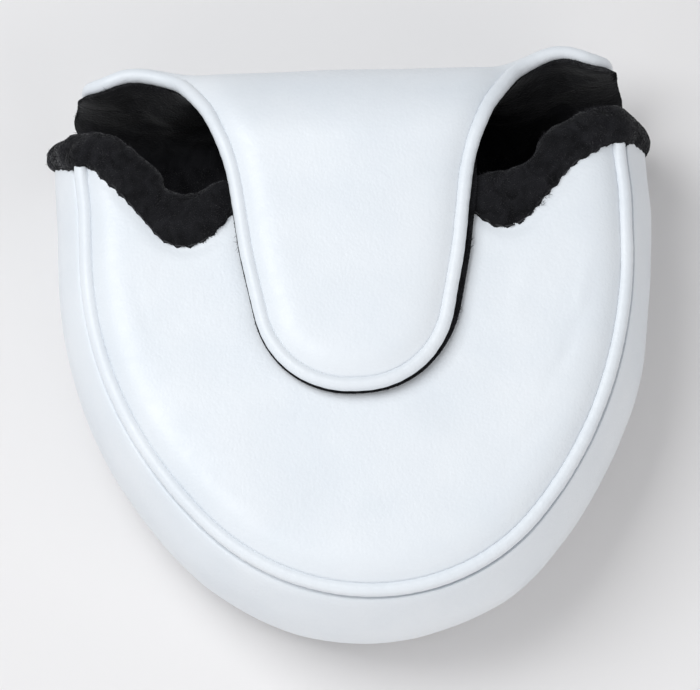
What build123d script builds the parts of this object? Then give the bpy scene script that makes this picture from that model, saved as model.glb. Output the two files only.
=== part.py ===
from build123d import *
import os
from math import atan2, cos, pi, radians, sin, tan

# A putter head cover for a mallet putter, lying on its back panel. Millimetres.
# +X is to the right, +Y points to the mouth and the fold, +Z is up, out of the front panel.
# The origin is on the resting plane, at the centre of the arcs of the sides.

# --- plan of the body: a straight-sided U of tangent arcs, along the centre of the piping ---
HALF_WIDTH = 62.6          # straight side to the centre plane
NOSE_Y = -31.7             # centre of the nose arc
NOSE_RADIUS = 50.3
SIDE_CENTRE = 34.7         # each side arc is centred this far beyond the centre plane
SIDE_RADIUS = HALF_WIDTH + SIDE_CENTRE
MOUTH_Y = 21.5             # end of the gusset's leather

# --- heights ---
FRONT_TOP = 44.4           # outer face of the front panel
FRONT_SEAM = 40.0          # centre of the front piping
FLAP_TOP = 51.0            # outer face of the flap
PIPING_DEPTH = 3.2         # centre of the back and flap piping, in from the outer face

# --- thicknesses, as distances in from the outer face of a panel ---
LEATHER = 1.2
SEAM_GAP = 0.05            # clearance between sewn layers
FRONT_FOAM = (LEATHER + SEAM_GAP, 4.2)
FRONT_LINING = (4.25, 8.2)
BACK_FOAM = (LEATHER + SEAM_GAP, 3.45)
BACK_LINING = (3.5, 6.1)

# --- insets of each layer from the centre of the piping ---
LEATHER_INSET = 1.75
FOAM_INSET = 3.0
LINING_INSET = 3.8
FRONT_FILLET = 3.0
BACK_FILLET = 2.5
PANEL_EDGE_GAP = 0.2       # from the centre of the piping to the edge of a panel's leather

# --- gusset: an arc that bulges outwards, with three layers as sideways offsets ---
GUSSET_LOW = 4.95
GUSSET_HIGH = 38.2
GUSSET_BULGE = 6.4
GUSSET_LEATHER = (0.2, -1.0)
GUSSET_FOAM = (-1.05, -3.75)
GUSSET_LINING = (-3.8, -7.8)
GUSSET_LINING_LOW = 6.15
GUSSET_LINING_HIGH = 36.15

# --- rolled plush rims at the mouth ---
RIM_WIDTH = 5.4
RIM_TOP = 44.6
RIM_ROUND = 2.4
SIDE_RIM_END = 27.5
SIDE_RIM_PROUD = 0.9
RIM_OVERLAP = 1.0

# --- mouth edge of the front panel, right half, from the middle to the corner ---
MOUTH_CORNERS = [(20.0, 13.7), (39.5, -2.0), (55.5, 17.0), (68.0, 22.5)]
MOUTH_RADII = [12.0, 8.0, 8.0]
THREAD_RADIUS = 0.3        # the thread lies in the valley between the leather and the rolled rim
THREAD_ACROSS = 0.4
THREAD_Z = 44.0

# --- piping ---
PIPING_RADIUS = 1.7
PIPING_BORE = 1.0
CORD_RADIUS = 0.95
PIPING_END_Y = 21.4

# --- fold: flat back, quarter arc, upright, quarter arc, flat flap ---
BACK_ARC = 18.0
BACK_ARC_Y = 28.45
FLAP_ARC = 22.0
FLAP_ARC_Z = FLAP_TOP - FLAP_ARC
FOLD_Y = BACK_ARC_Y + BACK_ARC
FLAP_ARC_Y = FOLD_Y - FLAP_ARC
HINGE_ANGLE = 45.0         # both hinges lie on the bisector of their arc
HINGE_OUT = 0.3            # hinge line, outside the outer face
HINGE_GAP_ANGLE = 0.6      # air at each hinge cut, in degrees

# --- edge of the wings, neck and flap, right half, along the centre of the piping ---
# x, and the distance along the outer face from the start of the back arc
WING_TIP = (62.6, 43.2)
NECK_CORNER = (37.6, 46.2)
NECK = [(34.9, 56.0), (32.0, 64.5), (29.2, 73.5)]
# x and y on the flat of the flap
TONGUE = [(25.6, 8.3), (24.2, -7.7), (22.6, -22.5), (8.5, -35.5)]
TIP_RADIUS = 8.0
NECK_RADIUS = 7.0
CORNER_SHARE = 0.42        # the part of a run that the arc at its end may take
RUN_IN = 3.0               # piping that is made past a hinge and cut off there

# --- hidden magnets of the closure ---
MAGNET_Y = -20.0
MAGNET_RADIUS = 9.0
BODY_MAGNET_THICK = 2.0
FLAP_MAGNET_THICK = 1.5
POUCH_WALL = 0.25
POUCH_ROOM = 0.1           # air round a magnet in its pouch, and round the pouch
POUCH_RADIUS = MAGNET_RADIUS + POUCH_ROOM + POUCH_WALL
MAGNET_HOLE = POUCH_RADIUS + POUCH_ROOM
NECK_OVERLAP = 6.0         # how far the flap's cutter reaches over the fold's

BIG = 200.0


# ---------------------------------------------------------------- outlines and paths

def u_points(offset):
    """Corner and middle points of the U at this offset from the piping, from left to right."""
    nose = NOSE_RADIUS + offset
    side = SIDE_RADIUS + offset
    turn = atan2(-NOSE_Y, SIDE_CENTRE)
    half = turn / 2
    join = (nose * cos(turn), NOSE_Y - nose * sin(turn))
    middle = (side * cos(half) - SIDE_CENTRE, -side * sin(half))
    return join, middle, (0.0, NOSE_Y - nose)


def u_path(offset, top, z):
    """The U as joined edges, from the left mouth corner round the nose to the right one."""
    join, middle, nose = u_points(offset)
    edge = HALF_WIDTH + offset
    left = [
        Line((-edge, top, z), (-edge, 0, z)),
        ThreePointArc((-edge, 0, z), (-middle[0], middle[1], z), (-join[0], join[1], z)),
    ]
    bottom = ThreePointArc((-join[0], join[1], z), (*nose, z), (*join, z))
    right = [
        ThreePointArc((*join, z), (*middle, z), (edge, 0, z)),
        Line((edge, 0, z), (edge, top, z)),
    ]
    return left + [bottom] + right


def u_face(offset, top, z):
    """The U closed straight across at the top."""
    edge = HALF_WIDTH + offset
    return make_face(u_path(offset, top, z) + [Line((edge, top, z), (-edge, top, z))])


def mouth_path(z, shift=0.0):
    """The mouth edge of the front panel, from left to right, moved along Y by shift."""
    right = [(x, y + shift, z) for x, y in MOUTH_CORNERS]
    left = [(-x, y, z) for x, y, z in reversed(right)]
    return FilletPolyline(*left, *right, radius=list(reversed(MOUTH_RADII)) + MOUTH_RADII)


def beyond_mouth(shift=0.0):
    """Everything on the open side of the front panel's mouth edge, as a tall block."""
    edge = mouth_path(0, shift)
    x, y = MOUTH_CORNERS[-1]
    y += shift
    lines = Polyline((x, y, 0), (BIG, y, 0), (BIG, BIG, 0), (-BIG, BIG, 0), (-BIG, y, 0), (-x, y, 0))
    return extrude(make_face([edge, lines]), amount=BIG, dir=(0, 0, 1))


def fitted_radii(points, limits):
    """The largest radius that each corner of a path has room for, up to its limit."""
    radii = []
    for before, corner, after, limit in zip(points, points[1:], points[2:], limits):
        back = Vector(*before) - Vector(*corner)
        ahead = Vector(*after) - Vector(*corner)
        turn = radians(180 - back.get_angle(ahead))
        room = CORNER_SHARE * min(back.length, ahead.length) / tan(turn / 2)
        radii.append(min(room, limit))
    return radii


def on_fold(s, depth=0.0):
    """(y, z) at distance s along the outer face from the start of the back arc, at this depth."""
    back_length = BACK_ARC * pi / 2
    upright = FLAP_ARC_Z - BACK_ARC
    if s < back_length:
        angle = s / BACK_ARC - pi / 2
        radius = BACK_ARC - depth
        return BACK_ARC_Y + radius * cos(angle), BACK_ARC + radius * sin(angle)
    s -= back_length
    if s < upright:
        return FOLD_Y - depth, BACK_ARC + s
    angle = (s - upright) / FLAP_ARC
    radius = FLAP_ARC - depth
    return FLAP_ARC_Y + radius * cos(angle), FLAP_ARC_Z + radius * sin(angle)


def arc_points(centre, radius, start, end):
    """Three points of an arc in the section plane, as (0, y, z)."""
    angles = [radians(start), radians((start + end) / 2), radians(end)]
    return [(0, centre[0] + radius * cos(a), centre[1] + radius * sin(a)) for a in angles]


# ---------------------------------------------------------------- body

def panel_block(inset, low, high, fillet_high, fillet_size):
    """A flat U block, with a round along its outer edge at the top or at the bottom."""
    block = extrude(u_face(-inset, BIG / 2, low), amount=high - low, dir=(0, 0, 1))
    level = high if fillet_high else low
    rim = block.edges().filter_by_position(Axis.Z, level, level)
    rim = rim.filter_by(lambda e: e.center().Y < BIG / 2 - 1)
    return fillet(rim, fillet_size)


def magnet_hole(z_low, z_high):
    """The round hole in the foam that takes a magnet in its pouch."""
    height = z_high - z_low
    return Pos(0, MAGNET_Y, (z_low + z_high) / 2) * Cylinder(MAGNET_HOLE, height)


def front_panel_leather():
    low = FRONT_SEAM + PANEL_EDGE_GAP
    outer = panel_block(LEATHER_INSET, low, FRONT_TOP, True, FRONT_FILLET)
    inner = panel_block(
        LEATHER_INSET + LEATHER, low - 1, FRONT_TOP - LEATHER, True, FRONT_FILLET - LEATHER
    )
    return outer - inner - beyond_mouth()


def front_panel_foam():
    low = FRONT_TOP - FRONT_FOAM[1]
    high = FRONT_TOP - FRONT_FOAM[0]
    block = panel_block(FOAM_INSET, low, high, True, FRONT_FILLET - LEATHER)
    return block - beyond_mouth() - magnet_hole(low - 1, high + 1)


def along_mouth(section, z):
    """A section swept along the mouth edge, its x away from the panel and its y up."""
    path = mouth_path(z)
    along = path % 0
    across = Vector(-along.Y, along.X, 0)
    start = Plane(origin=path @ 0, x_dir=across, z_dir=along)
    inside = extrude(u_face(-LINING_INSET, BIG / 2, 0), amount=BIG, dir=(0, 0, 1))
    return sweep(start * section, path=path) & inside


def front_rim():
    """The front lining's edge, rolled out over the mouth edge of the panel."""
    low = FRONT_TOP - FRONT_LINING[1]
    height = RIM_TOP - low
    roll = Pos(SEAM_GAP + RIM_WIDTH / 2, 0) * RectangleRounded(RIM_WIDTH, height, RIM_ROUND)
    return along_mouth(roll, low + height / 2)


def front_panel_lining():
    low = FRONT_TOP - FRONT_LINING[1]
    high = FRONT_TOP - FRONT_LINING[0]
    sheet = extrude(u_face(-LINING_INSET, BIG / 2, low), amount=high - low, dir=(0, 0, 1))
    sheet -= beyond_mouth(RIM_OVERLAP + RIM_ROUND)
    return front_rim() + sheet


def gusset_section(layer, y):
    """The gusset's layer as a face across its left end."""
    middle = (GUSSET_LOW + GUSSET_HIGH) / 2
    outer = -HALF_WIDTH - layer[0]
    inner = -HALF_WIDTH - layer[1]
    return make_face([
        ThreePointArc((outer, y, GUSSET_LOW), (outer - GUSSET_BULGE, y, middle), (outer, y, GUSSET_HIGH)),
        Line((outer, y, GUSSET_HIGH), (inner, y, GUSSET_HIGH)),
        ThreePointArc((inner, y, GUSSET_HIGH), (inner - GUSSET_BULGE, y, middle), (inner, y, GUSSET_LOW)),
        Line((inner, y, GUSSET_LOW), (outer, y, GUSSET_LOW)),
    ])


def gusset_band(layer, top):
    return sweep(gusset_section(layer, top), path=Wire(u_path(0, top, 0)))


def gusset_leather():
    return gusset_band(GUSSET_LEATHER, MOUTH_Y)


def gusset_foam():
    return gusset_band(GUSSET_FOAM, MOUTH_Y)


def side_rim():
    """The gusset lining's edge, rolled out over the left end of the gusset."""
    layer = (GUSSET_LEATHER[0] + SIDE_RIM_PROUD, GUSSET_LINING[1])
    start = MOUTH_Y + SEAM_GAP
    return extrude(gusset_section(layer, start), amount=SIDE_RIM_END - start, dir=(0, 1, 0))


def gusset_lining():
    height = GUSSET_LINING_HIGH - GUSSET_LINING_LOW
    level = Pos(0, 0, (GUSSET_LINING_LOW + GUSSET_LINING_HIGH) / 2) * Box(BIG * 2, BIG * 2, height)
    band = gusset_band(GUSSET_LINING, MOUTH_Y + RIM_OVERLAP) & level
    left = side_rim() & level
    return band + left + mirror(left, about=Plane.YZ)


# ---------------------------------------------------------------- back, fold and flap

def bend_face(layer, start, end, centre, radius):
    """A sector of a quarter arc between two depths, in the section plane."""
    outer = arc_points(centre, radius - layer[0], start, end)
    inner = arc_points(centre, radius - layer[1], end, start)
    return make_face([
        ThreePointArc(*outer),
        Line(outer[2], inner[0]),
        ThreePointArc(*inner),
        Line(inner[2], outer[0]),
    ])


def widened(face, half_width):
    """A section face carried from one side of the cover to the other."""
    return extrude(face, amount=half_width, both=True)


def back_bend(layer, inset):
    """The back panel's layer where it starts to turn up into the fold, up to the back hinge."""
    sector = bend_face(layer, -90, -HINGE_ANGLE, (BACK_ARC_Y, BACK_ARC), BACK_ARC)
    return widened(sector, HALF_WIDTH - inset)


def beyond_flat_back():
    return Pos(0, BACK_ARC_Y + BIG, 0) * Box(BIG * 2, BIG * 2, BIG)


def back_panel_leather():
    high = PIPING_DEPTH - PANEL_EDGE_GAP
    outer = panel_block(LEATHER_INSET, 0, high, False, BACK_FILLET)
    inner = panel_block(LEATHER_INSET + LEATHER, LEATHER, high + 1, False, BACK_FILLET - LEATHER)
    return outer - inner - beyond_flat_back() + back_bend((0, LEATHER), LEATHER_INSET)


def back_panel_foam():
    block = panel_block(FOAM_INSET, *BACK_FOAM, False, BACK_FILLET - LEATHER)
    return block - beyond_flat_back() + back_bend(BACK_FOAM, FOAM_INSET)


def back_panel_lining():
    low, high = BACK_LINING
    flat = extrude(u_face(-LINING_INSET, BACK_ARC_Y, low), amount=high - low, dir=(0, 0, 1))
    return flat + back_bend(BACK_LINING, LINING_INSET)


def fold_section(layer):
    """The fold's layer between the two hinges, in the section plane."""
    back = (BACK_ARC_Y, BACK_ARC)
    front = (FLAP_ARC_Y, FLAP_ARC_Z)
    end = HINGE_ANGLE - HINGE_GAP_ANGLE
    outer_back = arc_points(back, BACK_ARC - layer[0], -end, 0)
    outer_front = arc_points(front, FLAP_ARC - layer[0], 0, end)
    inner_front = arc_points(front, FLAP_ARC - layer[1], end, 0)
    inner_back = arc_points(back, BACK_ARC - layer[1], 0, -end)
    return make_face([
        ThreePointArc(*outer_back),
        Line(outer_back[2], outer_front[0]),
        ThreePointArc(*outer_front),
        Line(outer_front[2], inner_front[0]),
        ThreePointArc(*inner_front),
        Line(inner_front[2], inner_back[0]),
        ThreePointArc(*inner_back),
        Line(inner_back[2], outer_back[0]),
    ])


def fold_outline(inset):
    """Wings and neck seen along Y, as a face in the XZ plane."""
    corners = [WING_TIP, NECK_CORNER] + NECK
    right = [(WING_TIP[0], 0, 0)] + [(x, 0, on_fold(s)[1]) for x, s in corners]
    left = [(-x, y, z) for x, y, z in reversed(right)]
    limits = [TIP_RADIUS, NECK_RADIUS] + [BIG] * (len(NECK) - 1)
    right_edge = FilletPolyline(*right, radius=fitted_radii(right, limits))
    left_edge = FilletPolyline(*left, radius=fitted_radii(left, list(reversed(limits))))
    outline = make_face([
        right_edge, Line(right[-1], left[0]), left_edge, Line(left[-1], right[0])
    ])
    return offset(outline, amount=-inset, kind=Kind.INTERSECTION)


def fold_layer(layer, inset):
    band = widened(fold_section(layer), HALF_WIDTH)
    return band & extrude(fold_outline(inset), amount=BIG, both=True)


def fold_leather():
    return fold_layer((0, LEATHER), LEATHER_INSET)


def fold_foam():
    return fold_layer(BACK_FOAM, FOAM_INSET)


def fold_lining():
    return fold_layer(BACK_LINING, LINING_INSET)


def flap_outline_points():
    """The flap's edge seen from above, right half, from the neck to the tongue."""
    neck = [(x, on_fold(s)[0]) for x, s in NECK]
    return [(NECK_CORNER[0], on_fold(NECK_CORNER[1])[0] + NECK_OVERLAP)] + neck + TONGUE


def flap_outline(inset):
    right = [(x, y, 0) for x, y in flap_outline_points()]
    left = [(-x, y, z) for x, y, z in reversed(right)]
    points = right + left
    edge = FilletPolyline(*points, radius=fitted_radii(points, [BIG] * (len(points) - 2)))
    outline = make_face([edge, Line(points[-1], points[0])])
    return offset(outline, amount=-inset, kind=Kind.INTERSECTION)


def flap_layer(layer, inset):
    centre = (FLAP_ARC_Y, FLAP_ARC_Z)
    sector = widened(bend_face(layer, HINGE_ANGLE, 90, centre, FLAP_ARC), HALF_WIDTH)
    length = FLAP_ARC_Y - TONGUE[-1][1]
    middle = (FLAP_ARC_Y - length / 2, FLAP_TOP - (layer[0] + layer[1]) / 2)
    flat = Pos(0, *middle) * Box(2 * HALF_WIDTH, length, layer[1] - layer[0])
    cutter = extrude(flap_outline(inset), amount=BIG, dir=(0, 0, 1))
    return (sector + flat) & cutter


def flap_leather():
    return flap_layer((0, LEATHER), LEATHER_INSET)


def flap_foam():
    hole = magnet_hole(FLAP_TOP - BACK_FOAM[1] - 1, FLAP_TOP - BACK_FOAM[0] + 1)
    return flap_layer(BACK_FOAM, FOAM_INSET) - hole


def flap_lining():
    return flap_layer(BACK_LINING, LINING_INSET)


# ---------------------------------------------------------------- piping

def tube(path, radius):
    """A round solid along a path."""
    wire = path if isinstance(path, Wire) else Wire(path.edges())
    start = Plane(origin=wire @ 0, z_dir=wire % 0)
    return sweep(start * Circle(radius), path=wire)


def piping_cover(path):
    return tube(path, PIPING_RADIUS) - tube(path, PIPING_BORE)


def piping_cord(path):
    return tube(path, CORD_RADIUS)


def front_piping_path():
    return Wire(u_path(0, PIPING_END_Y, FRONT_SEAM))


def back_piping_path():
    """Round the back panel's U and up the start of the fold on both sides, to the back hinge."""
    radius = BACK_ARC - PIPING_DEPTH
    bend = arc_points((BACK_ARC_Y, BACK_ARC), radius, -90, -HINGE_ANGLE)
    right = ThreePointArc(*[(HALF_WIDTH, y, z) for x, y, z in bend])
    left = ThreePointArc(*[(-HALF_WIDTH, y, z) for x, y, z in reversed(bend)])
    return Wire([left] + u_path(0, BACK_ARC_Y, PIPING_DEPTH) + [right])


def edge_point(x, s):
    y, z = on_fold(s, PIPING_DEPTH)
    return (x, y, z)


def between_hinges():
    """The wedge of space that belongs to the fold."""
    end = radians(HINGE_ANGLE - HINGE_GAP_ANGLE)
    back = (BACK_ARC_Y, BACK_ARC)
    front = (FLAP_ARC_Y, FLAP_ARC_Z)
    wedge = Polyline(
        (0, *back),
        (0, back[0] + BIG * cos(end), back[1] - BIG * sin(end)),
        (0, front[0] + BIG * cos(end), front[1] + BIG * sin(end)),
        (0, *front),
        (0, *back),
    )
    return widened(make_face(wedge), BIG)


def beyond_flap_hinge():
    """The space on the flap's side of the flap hinge."""
    reach = BIG * cos(radians(HINGE_ANGLE))
    front = (FLAP_ARC_Y, FLAP_ARC_Z)
    wedge = Polyline(
        (0, *front),
        (0, front[0] + reach, front[1] + reach),
        (0, front[0] - BIG, front[1] + reach),
        (0, front[0] - BIG, front[1]),
        (0, *front),
    )
    return widened(make_face(wedge), BIG)


def fold_piping_path():
    """Up the right wing's side, round its tip and into the neck, past the flap hinge."""
    radius = BACK_ARC - PIPING_DEPTH
    turn = radians(HINGE_ANGLE)
    low = (BACK_ARC_Y + radius * cos(turn), BACK_ARC - radius * sin(turn))
    start = (HALF_WIDTH, low[0] - RUN_IN * cos(turn), low[1] - RUN_IN * sin(turn))
    bend = (HALF_WIDTH, BACK_ARC_Y + radius, BACK_ARC - radius * tan(turn / 2))
    corners = [edge_point(x, s) for x, s in [WING_TIP, NECK_CORNER] + NECK]
    points = [start, bend] + corners
    limits = [radius, TIP_RADIUS, NECK_RADIUS] + [BIG] * (len(NECK) - 1)
    radii = fitted_radii(points, limits)
    radii[0] = radius
    return FilletPolyline(*points, radius=radii)


def flap_piping_path():
    """From the neck along the flap's edge, round the tongue and back to the other side."""
    neck = [edge_point(x, s) for x, s in [NECK_CORNER] + NECK]
    tongue = [(x, y, FLAP_TOP - PIPING_DEPTH) for x, y in TONGUE]
    right = neck + tongue
    left = [(-x, y, z) for x, y, z in reversed(right)]
    points = right + left
    limits = [BIG] * (len(points) - 2)
    return FilletPolyline(*points, radius=fitted_radii(points, limits))


def fold_piping_cover():
    return piping_cover(fold_piping_path()) & between_hinges()


def fold_piping_cord():
    return piping_cord(fold_piping_path()) & between_hinges()


def mouth_thread():
    """The line of stitching that holds the rolled rim down at the front panel's mouth edge."""
    return along_mouth(Pos(THREAD_ACROSS, 0) * Circle(THREAD_RADIUS), THREAD_Z)


# ---------------------------------------------------------------- magnets

def magnet(thickness, z_top):
    return Pos(0, MAGNET_Y, z_top - thickness / 2) * Cylinder(MAGNET_RADIUS, thickness)


def pouch(thickness, z_top):
    """A thin cup that holds a magnet against the foam side of the leather."""
    height = thickness + SEAM_GAP + POUCH_WALL
    outer = Pos(0, MAGNET_Y, z_top - height / 2) * Cylinder(POUCH_RADIUS, height)
    bore = Pos(0, MAGNET_Y, z_top - height / 2 + POUCH_WALL)
    return outer - bore * Cylinder(POUCH_RADIUS - POUCH_WALL, height)


def mirrored(solid):
    return mirror(solid, about=Plane.YZ)


BODY_MAGNET_TOP = FRONT_TOP - FRONT_FOAM[0]
FLAP_MAGNET_TOP = FLAP_TOP - BACK_FOAM[0]

nodes = {
    "front_panel_leather": front_panel_leather(),
    "front_panel_foam": front_panel_foam(),
    "front_panel_lining": front_panel_lining(),
    "gusset_leather": gusset_leather(),
    "gusset_foam": gusset_foam(),
    "gusset_lining": gusset_lining(),
    "back_panel_leather": back_panel_leather(),
    "back_panel_foam": back_panel_foam(),
    "back_panel_lining": back_panel_lining(),
    "front_piping_cover": piping_cover(front_piping_path()),
    "front_piping_cord": piping_cord(front_piping_path()),
    "back_piping_cover": piping_cover(back_piping_path()),
    "back_piping_cord": piping_cord(back_piping_path()),
    "mouth_thread": mouth_thread(),
    "body_magnet": magnet(BODY_MAGNET_THICK, BODY_MAGNET_TOP),
    "body_magnet_pouch": pouch(BODY_MAGNET_THICK, BODY_MAGNET_TOP),
    "fold_leather": fold_leather(),
    "fold_foam": fold_foam(),
    "fold_lining": fold_lining(),
    "fold_piping_cover_right": fold_piping_cover(),
    "fold_piping_cover_left": mirrored(fold_piping_cover()),
    "fold_piping_cord_right": fold_piping_cord(),
    "fold_piping_cord_left": mirrored(fold_piping_cord()),
    "flap_leather": flap_leather(),
    "flap_foam": flap_foam(),
    "flap_lining": flap_lining(),
    "flap_piping_cover": piping_cover(flap_piping_path()) & beyond_flap_hinge(),
    "flap_piping_cord": piping_cord(flap_piping_path()) & beyond_flap_hinge(),
    "flap_magnet": magnet(FLAP_MAGNET_THICK, FLAP_MAGNET_TOP),
    "flap_magnet_pouch": pouch(FLAP_MAGNET_THICK, FLAP_MAGNET_TOP),
}

os.makedirs("parts", exist_ok=True)
for name, shape in nodes.items():
    export_step(shape, f"parts/{name}.step")

bend_out = HINGE_OUT * cos(radians(HINGE_ANGLE))
for label, centre, radius, side in [
    ("back hinge", (BACK_ARC_Y, BACK_ARC), BACK_ARC, -1),
    ("front hinge", (FLAP_ARC_Y, FLAP_ARC_Z), FLAP_ARC, 1),
]:
    reach = radius * cos(radians(HINGE_ANGLE)) + bend_out
    print(label, "y", round(centre[0] + reach, 3), "z", round(centre[1] + side * reach, 3))
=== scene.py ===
from math import atan2, cos, pi, radians, sin

import bpy
import numpy as np
from mathutils import Matrix, Vector
from mathutils.geometry import delaunay_2d_cdt


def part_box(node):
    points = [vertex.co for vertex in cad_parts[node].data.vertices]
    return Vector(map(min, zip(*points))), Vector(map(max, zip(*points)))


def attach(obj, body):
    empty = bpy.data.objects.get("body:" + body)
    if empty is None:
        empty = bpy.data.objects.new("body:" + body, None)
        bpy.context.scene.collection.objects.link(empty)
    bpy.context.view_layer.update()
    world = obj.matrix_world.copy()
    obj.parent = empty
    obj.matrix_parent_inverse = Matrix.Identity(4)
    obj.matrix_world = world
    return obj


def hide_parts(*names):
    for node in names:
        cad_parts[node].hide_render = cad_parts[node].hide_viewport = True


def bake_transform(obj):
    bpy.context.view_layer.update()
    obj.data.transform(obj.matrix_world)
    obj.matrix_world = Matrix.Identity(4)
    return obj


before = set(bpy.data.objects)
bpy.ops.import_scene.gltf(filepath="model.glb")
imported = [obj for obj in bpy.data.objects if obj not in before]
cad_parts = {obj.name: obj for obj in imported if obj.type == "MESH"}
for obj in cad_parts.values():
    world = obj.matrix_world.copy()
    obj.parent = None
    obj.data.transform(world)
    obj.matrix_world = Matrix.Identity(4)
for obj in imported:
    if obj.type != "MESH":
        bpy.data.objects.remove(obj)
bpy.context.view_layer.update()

# The looks of a putter head cover: white leather over foam, black plush lining, piped seams.
# Lengths are in millimetres, in the frame of the CAD model. mesh_piece() turns them into metres.

MM = 0.001


def low_high(node):
    """The two corners of a CAD node's box."""
    low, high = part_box(node)
    return low / MM, high / MM


# --- driving sizes, read from the frame ---
piping_low, piping_high = low_high("front_piping_cover")
back_piping_low = low_high("back_piping_cover")[0]
flap_piping_low = low_high("flap_piping_cover")[0]
PIPING_RADIUS = (piping_high.z - piping_low.z) / 2
HALF_WIDTH = piping_high.x - PIPING_RADIUS
NOSE_END = piping_low.y + PIPING_RADIUS
FRONT_SEAM = piping_low.z + PIPING_RADIUS
BACK_SEAM = back_piping_low.z + PIPING_RADIUS
FRONT_TOP = low_high("front_panel_leather")[1].z
CAVITY_TOP = low_high("front_panel_lining")[0].z
CAVITY_FLOOR = low_high("gusset_lining")[0].z
FLAP_TOP = low_high("flap_leather")[1].z
FOLD_Y = low_high("fold_leather")[1].y
TONGUE_END = flap_piping_low.y + PIPING_RADIUS
cord_low, cord_high = low_high("front_piping_cord")
CORD_RADIUS = (cord_high.z - cord_low.z) / 2
gusset_low, gusset_high = low_high("gusset_leather")
GUSSET_LOW = gusset_low.z
GUSSET_HIGH = gusset_high.z
MOUTH_Y = gusset_high.y

# --- plan of the body, a U of tangent arcs along the piping ---
NOSE_RADIUS = 50.3
NOSE_Y = NOSE_END + NOSE_RADIUS
SIDE_CENTRE = 34.7
SIDE_RADIUS = HALF_WIDTH + SIDE_CENTRE
PAST_MOUTH = 30.0              # how far the long U runs on past the mouth

# --- section of back, fold and flap ---
BACK_ARC = 18.0
FLAP_ARC = 22.0
BACK_ARC_Y = FOLD_Y - BACK_ARC
FLAP_ARC_Y = FOLD_Y - FLAP_ARC
FLAP_ARC_Z = FLAP_TOP - FLAP_ARC
S_UPRIGHT = BACK_ARC * pi / 2
S_FLAP_ARC = S_UPRIGHT + FLAP_ARC_Z - BACK_ARC
S_FLAP = S_FLAP_ARC + FLAP_ARC * pi / 2
S_SPLIT = 35.0                 # back pieces end here, fold and flap pieces begin

# --- layers, as depths in from the outer face ---
SKIN = (0.0, 1.2)
FRONT_FOAM = (1.25, 4.2)
FRONT_PLUSH = (4.25, FRONT_TOP - CAVITY_TOP)
FOAM = (1.25, 3.45)
PLUSH = (3.5, 6.1)

# --- outlines along the piping, right half ---
# wings, neck and flap as x and distance s along the outer face from the start of the back arc
WING = [(HALF_WIDTH, S_SPLIT), (HALF_WIDTH, 43.8), (40.6, 46.4), (32.6, 63.8), (27.1, 79.6),
        (24.4, 101.0)]
WING_RADII = [8.6, 9.0, 40.0, 60.0, 90.0]
TONGUE = [(20.2, 122.0), (10.2, S_FLAP + FLAP_ARC_Y - TONGUE_END - 0.6)]
TONGUE_RADII = [22.0, 20.4]
# where the rolled plush ends on the front panel, from the left to the right, as x and y
PLUSH_EDGE = [(-62.6, 21.4), (-55.5, 15.6), (-39.3, -4.8), (-20.0, 16.0), (17.0, 15.0),
              (36.5, 0.0), (53.2, 18.4), (62.6, 23.4)]
PLUSH_EDGE_RADII = [9.0, 9.0, 12.0, 12.0, 7.1, 10.0]
UNDER_ROLL = 2.0               # how far the leather's edge lies under the rolled plush

STEP = 1.0                     # distance between points along an outline
SPACING = 1.1                  # distance between points inside a sheet
RINGS = (0.5, 1.1, 1.8, 2.6, 3.5, 4.5)   # insets of the rows that follow a sheet's edge
SAME_SPOT = 0.4                # points of a sheet that are nearer than this are one
ROW_HEIGHT = 0.87              # height of a row of even triangles, for their width
TUCK = 1.25                    # a sheet's edge, in from the centre of its piping
STITCH = 3.2                   # length of one stitch
SHARP = 58.0                   # edges that turn by more degrees than this stay sharp


# ---------------------------------------------------------------- paths

def smooth(t):
    t = np.clip(t, 0, 1)
    return t * t * (3 - 2 * t)


def resample(path, step, closed=False):
    """The same path with evenly spaced points."""
    path = np.asarray(path, float)
    if closed:
        path = np.vstack([path, path[:1]])
    lengths = np.linalg.norm(np.diff(path, axis=0), axis=1)
    along = np.concatenate([[0], np.cumsum(lengths)])
    count = max(int(round(along[-1] / step)), 3)
    at = np.linspace(0, along[-1], count + 1)
    if closed:
        at = at[:-1]
    return np.column_stack([np.interp(at, along, path[:, k]) for k in range(path.shape[1])])


def rounded(points, radii, step=STEP):
    """A path of straight runs whose corners are arcs, with evenly spaced points."""
    points = [np.array(p, float) for p in points]
    path = [points[0]]
    for before, corner, after, radius in zip(points, points[1:], points[2:], radii):
        back = (before - corner) / np.linalg.norm(before - corner)
        ahead = (after - corner) / np.linalg.norm(after - corner)
        half = (pi - np.arccos(np.clip(back @ ahead, -1, 1))) / 2
        middle = (back + ahead) / np.linalg.norm(back + ahead)
        centre = corner + middle * radius / cos(half)
        for share in np.linspace(-1, 1, 13):
            side = (ahead - back) / np.linalg.norm(ahead - back)
            angle = share * half
            path.append(centre + radius * (-middle * cos(angle) + side * sin(angle)))
    path.append(points[-1])
    return resample(path, step)


def mirrored(points):
    """The same points on the other side, in the opposite order."""
    return [(-p[0], *p[1:]) for p in reversed(points)]


def arc(centre, radius, start, end, step=STEP):
    count = max(int(abs(end - start) * radius / step), 3)
    angles = np.linspace(start, end, count)
    return np.column_stack([centre[0] + radius * np.cos(angles), centre[1] + radius * np.sin(angles)])


def u_line(offset, top, step=STEP):
    """The U at this offset from the piping, from the left end round the nose to the right."""
    turn = atan2(-NOSE_Y, SIDE_CENTRE)
    edge = HALF_WIDTH + offset
    side = SIDE_RADIUS + offset
    parts = [
        [(-edge, top)],
        arc((SIDE_CENTRE, 0), side, pi, pi + turn, step),
        arc((0, NOSE_Y), NOSE_RADIUS + offset, pi + turn, 2 * pi - turn, step),
        arc((-SIDE_CENTRE, 0), side, -turn, 0, step),
        [(edge, top)],
    ]
    return resample(np.vstack(parts), step)


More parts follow.
